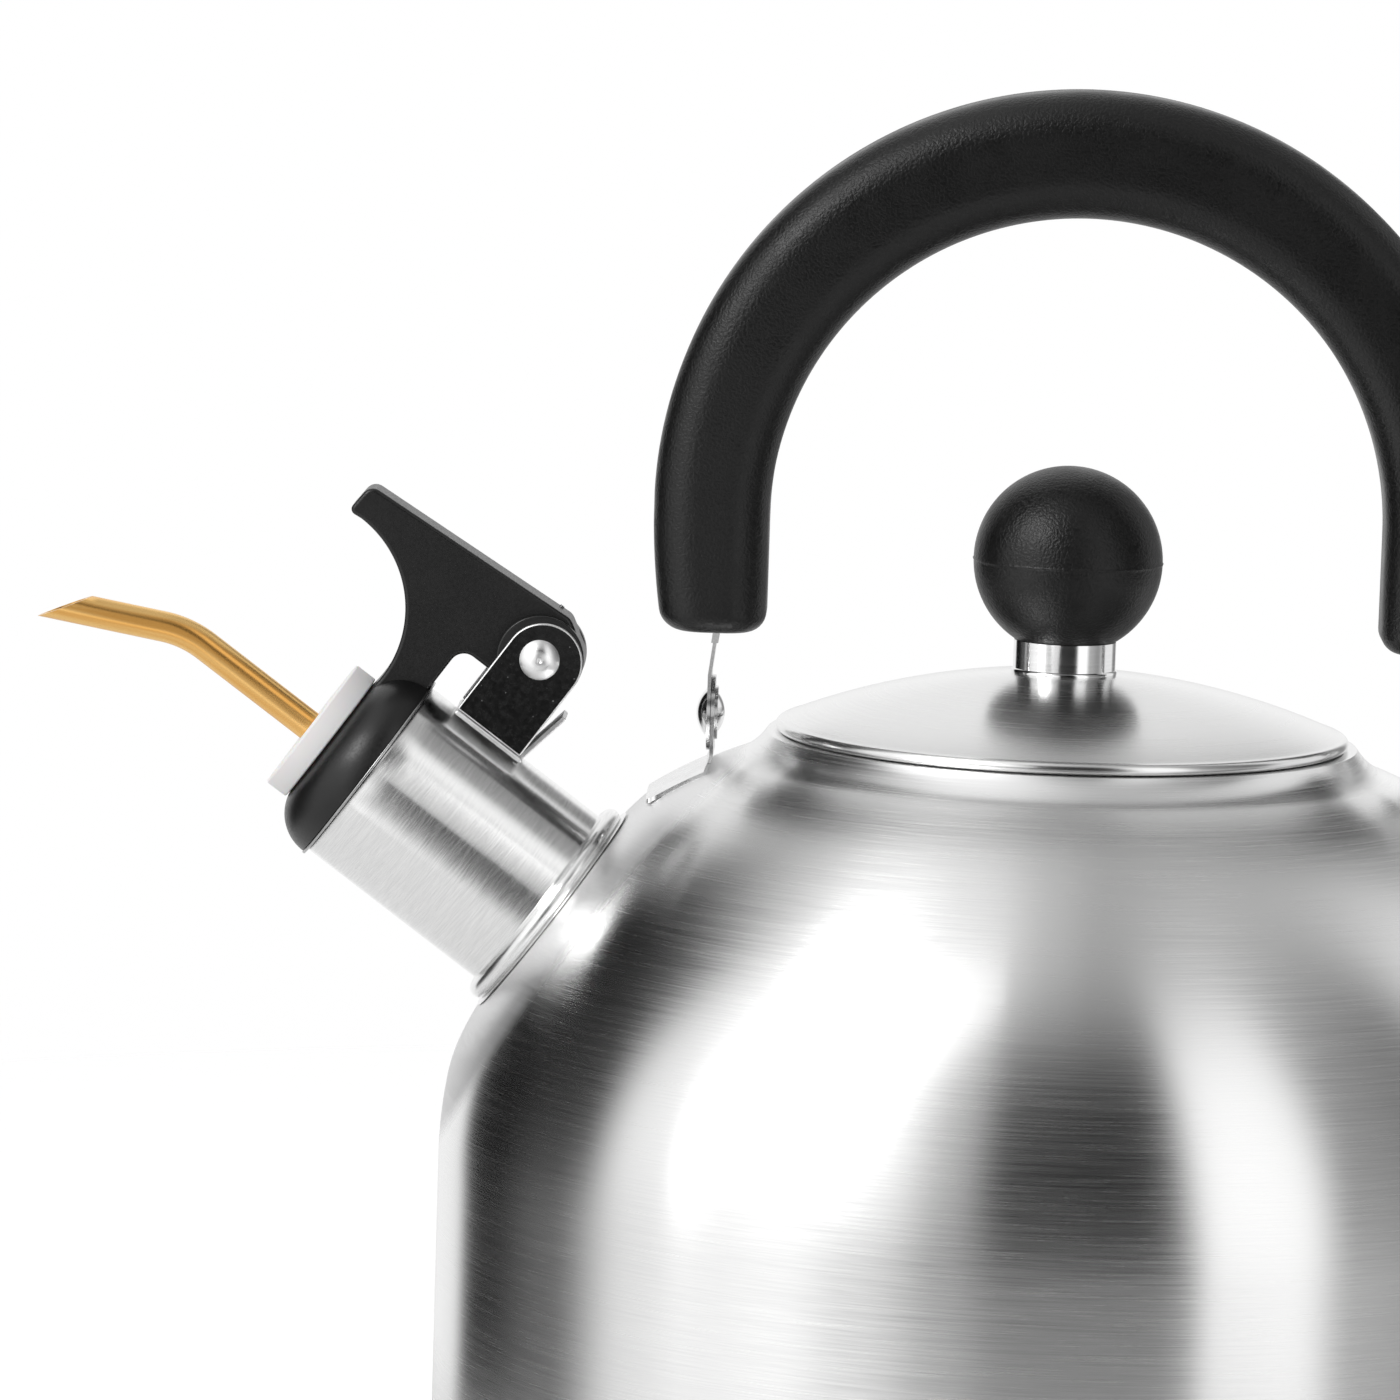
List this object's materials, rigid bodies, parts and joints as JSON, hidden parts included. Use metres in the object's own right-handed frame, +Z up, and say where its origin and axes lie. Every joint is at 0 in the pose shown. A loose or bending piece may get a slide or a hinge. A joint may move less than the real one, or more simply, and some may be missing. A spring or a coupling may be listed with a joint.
{
  "type": "stovetop whistling kettle",
  "caption": "Round-shouldered steel stovetop kettle with a folding arch handle, lift-off knobbed lid and a slanted spout closed by a sprung whistle with a bent steam nozzle.",
  "frame": {"origin": "centre of the base's underside, on the kettle's axis, at the height of the hob", "axes": "+Z up, the spout points to -X, +Y is the kettle's far side seen with the spout on the left"},
  "size_m": [0.2817, 0.21, 0.2461],
  "materials": {
    "body_steel": "fine horizontal brushing, polished round the collar and the spout's seat",
    "lid_steel": "soft circular brushing with a polished rolled edge",
    "spout_steel": "brushed round the tube, bead polished",
    "polished_steel": "bright polished",
    "pressed_steel": "plain pressed sheet, lightly scuffed",
    "hinge_steel": "dark glossy sides with bright cut edges",
    "base_steel": "circular brushing",
    "spreader_aluminium": "plain rolled",
    "black_phenolic": "fine moulded grain, satin",
    "black_nylon": "smooth satin moulding",
    "stopper_plastic": "plain warm white",
    "nozzle_brass": "satin, drawn lengthwise",
    "spring_steel": "drawn wire"
  },
  "bodies": {
    "kettle": {"body_shell": "body_steel", "bottom_pan": "body_steel", "heat_spreader": "spreader_aluminium", "base_cap": "base_steel", "spout_tube": "spout_steel", "front_bracket": "pressed_steel", "rear_bracket": "pressed_steel", "front_rivet": "polished_steel", "rear_rivet": "polished_steel", "front_washer": "pressed_steel", "rear_washer": "pressed_steel", "whistle_bracket": "hinge_steel", "whistle_pin": "polished_steel", "whistle_spring": "spring_steel"},
    "lid": {"lid_cover": "lid_steel", "lid_skirt": "lid_steel", "knob_ferrule": "polished_steel", "lid_knob": "black_phenolic", "knob_screw": "pressed_steel", "knob_washer": "pressed_steel"},
    "handle": {"handle_grip": "black_phenolic", "front_strap": "pressed_steel", "rear_strap": "pressed_steel"},
    "whistle": {"whistle_lever": "black_nylon", "whistle_cup": "pressed_steel", "whistle_disc": "pressed_steel", "nozzle_stopper": "stopper_plastic", "steam_nozzle": "nozzle_brass"}
  },
  "joints": [
    {"name": "lid_lift", "type": "slide", "parent": "kettle", "child": "lid", "axis": [0, 0, 1], "range_m": [0, 0.035]},
    {"name": "handle_fold", "type": "hinge", "parent": "kettle", "child": "handle", "pos_m": [0.0012, 0, 0.1374], "axis": [1, 0, 0], "range_deg": [-75, 75]},
    {"name": "whistle_flip", "type": "hinge", "parent": "kettle", "child": "whistle", "pos_m": [-0.08975, 0, 0.14628], "axis": [0, 1, 0], "range_deg": [0, 60], "stiffness_Nm_per_rad": 0.08, "springref_deg": -34.38, "deforming": ["whistle_spring"]}
  ]
}
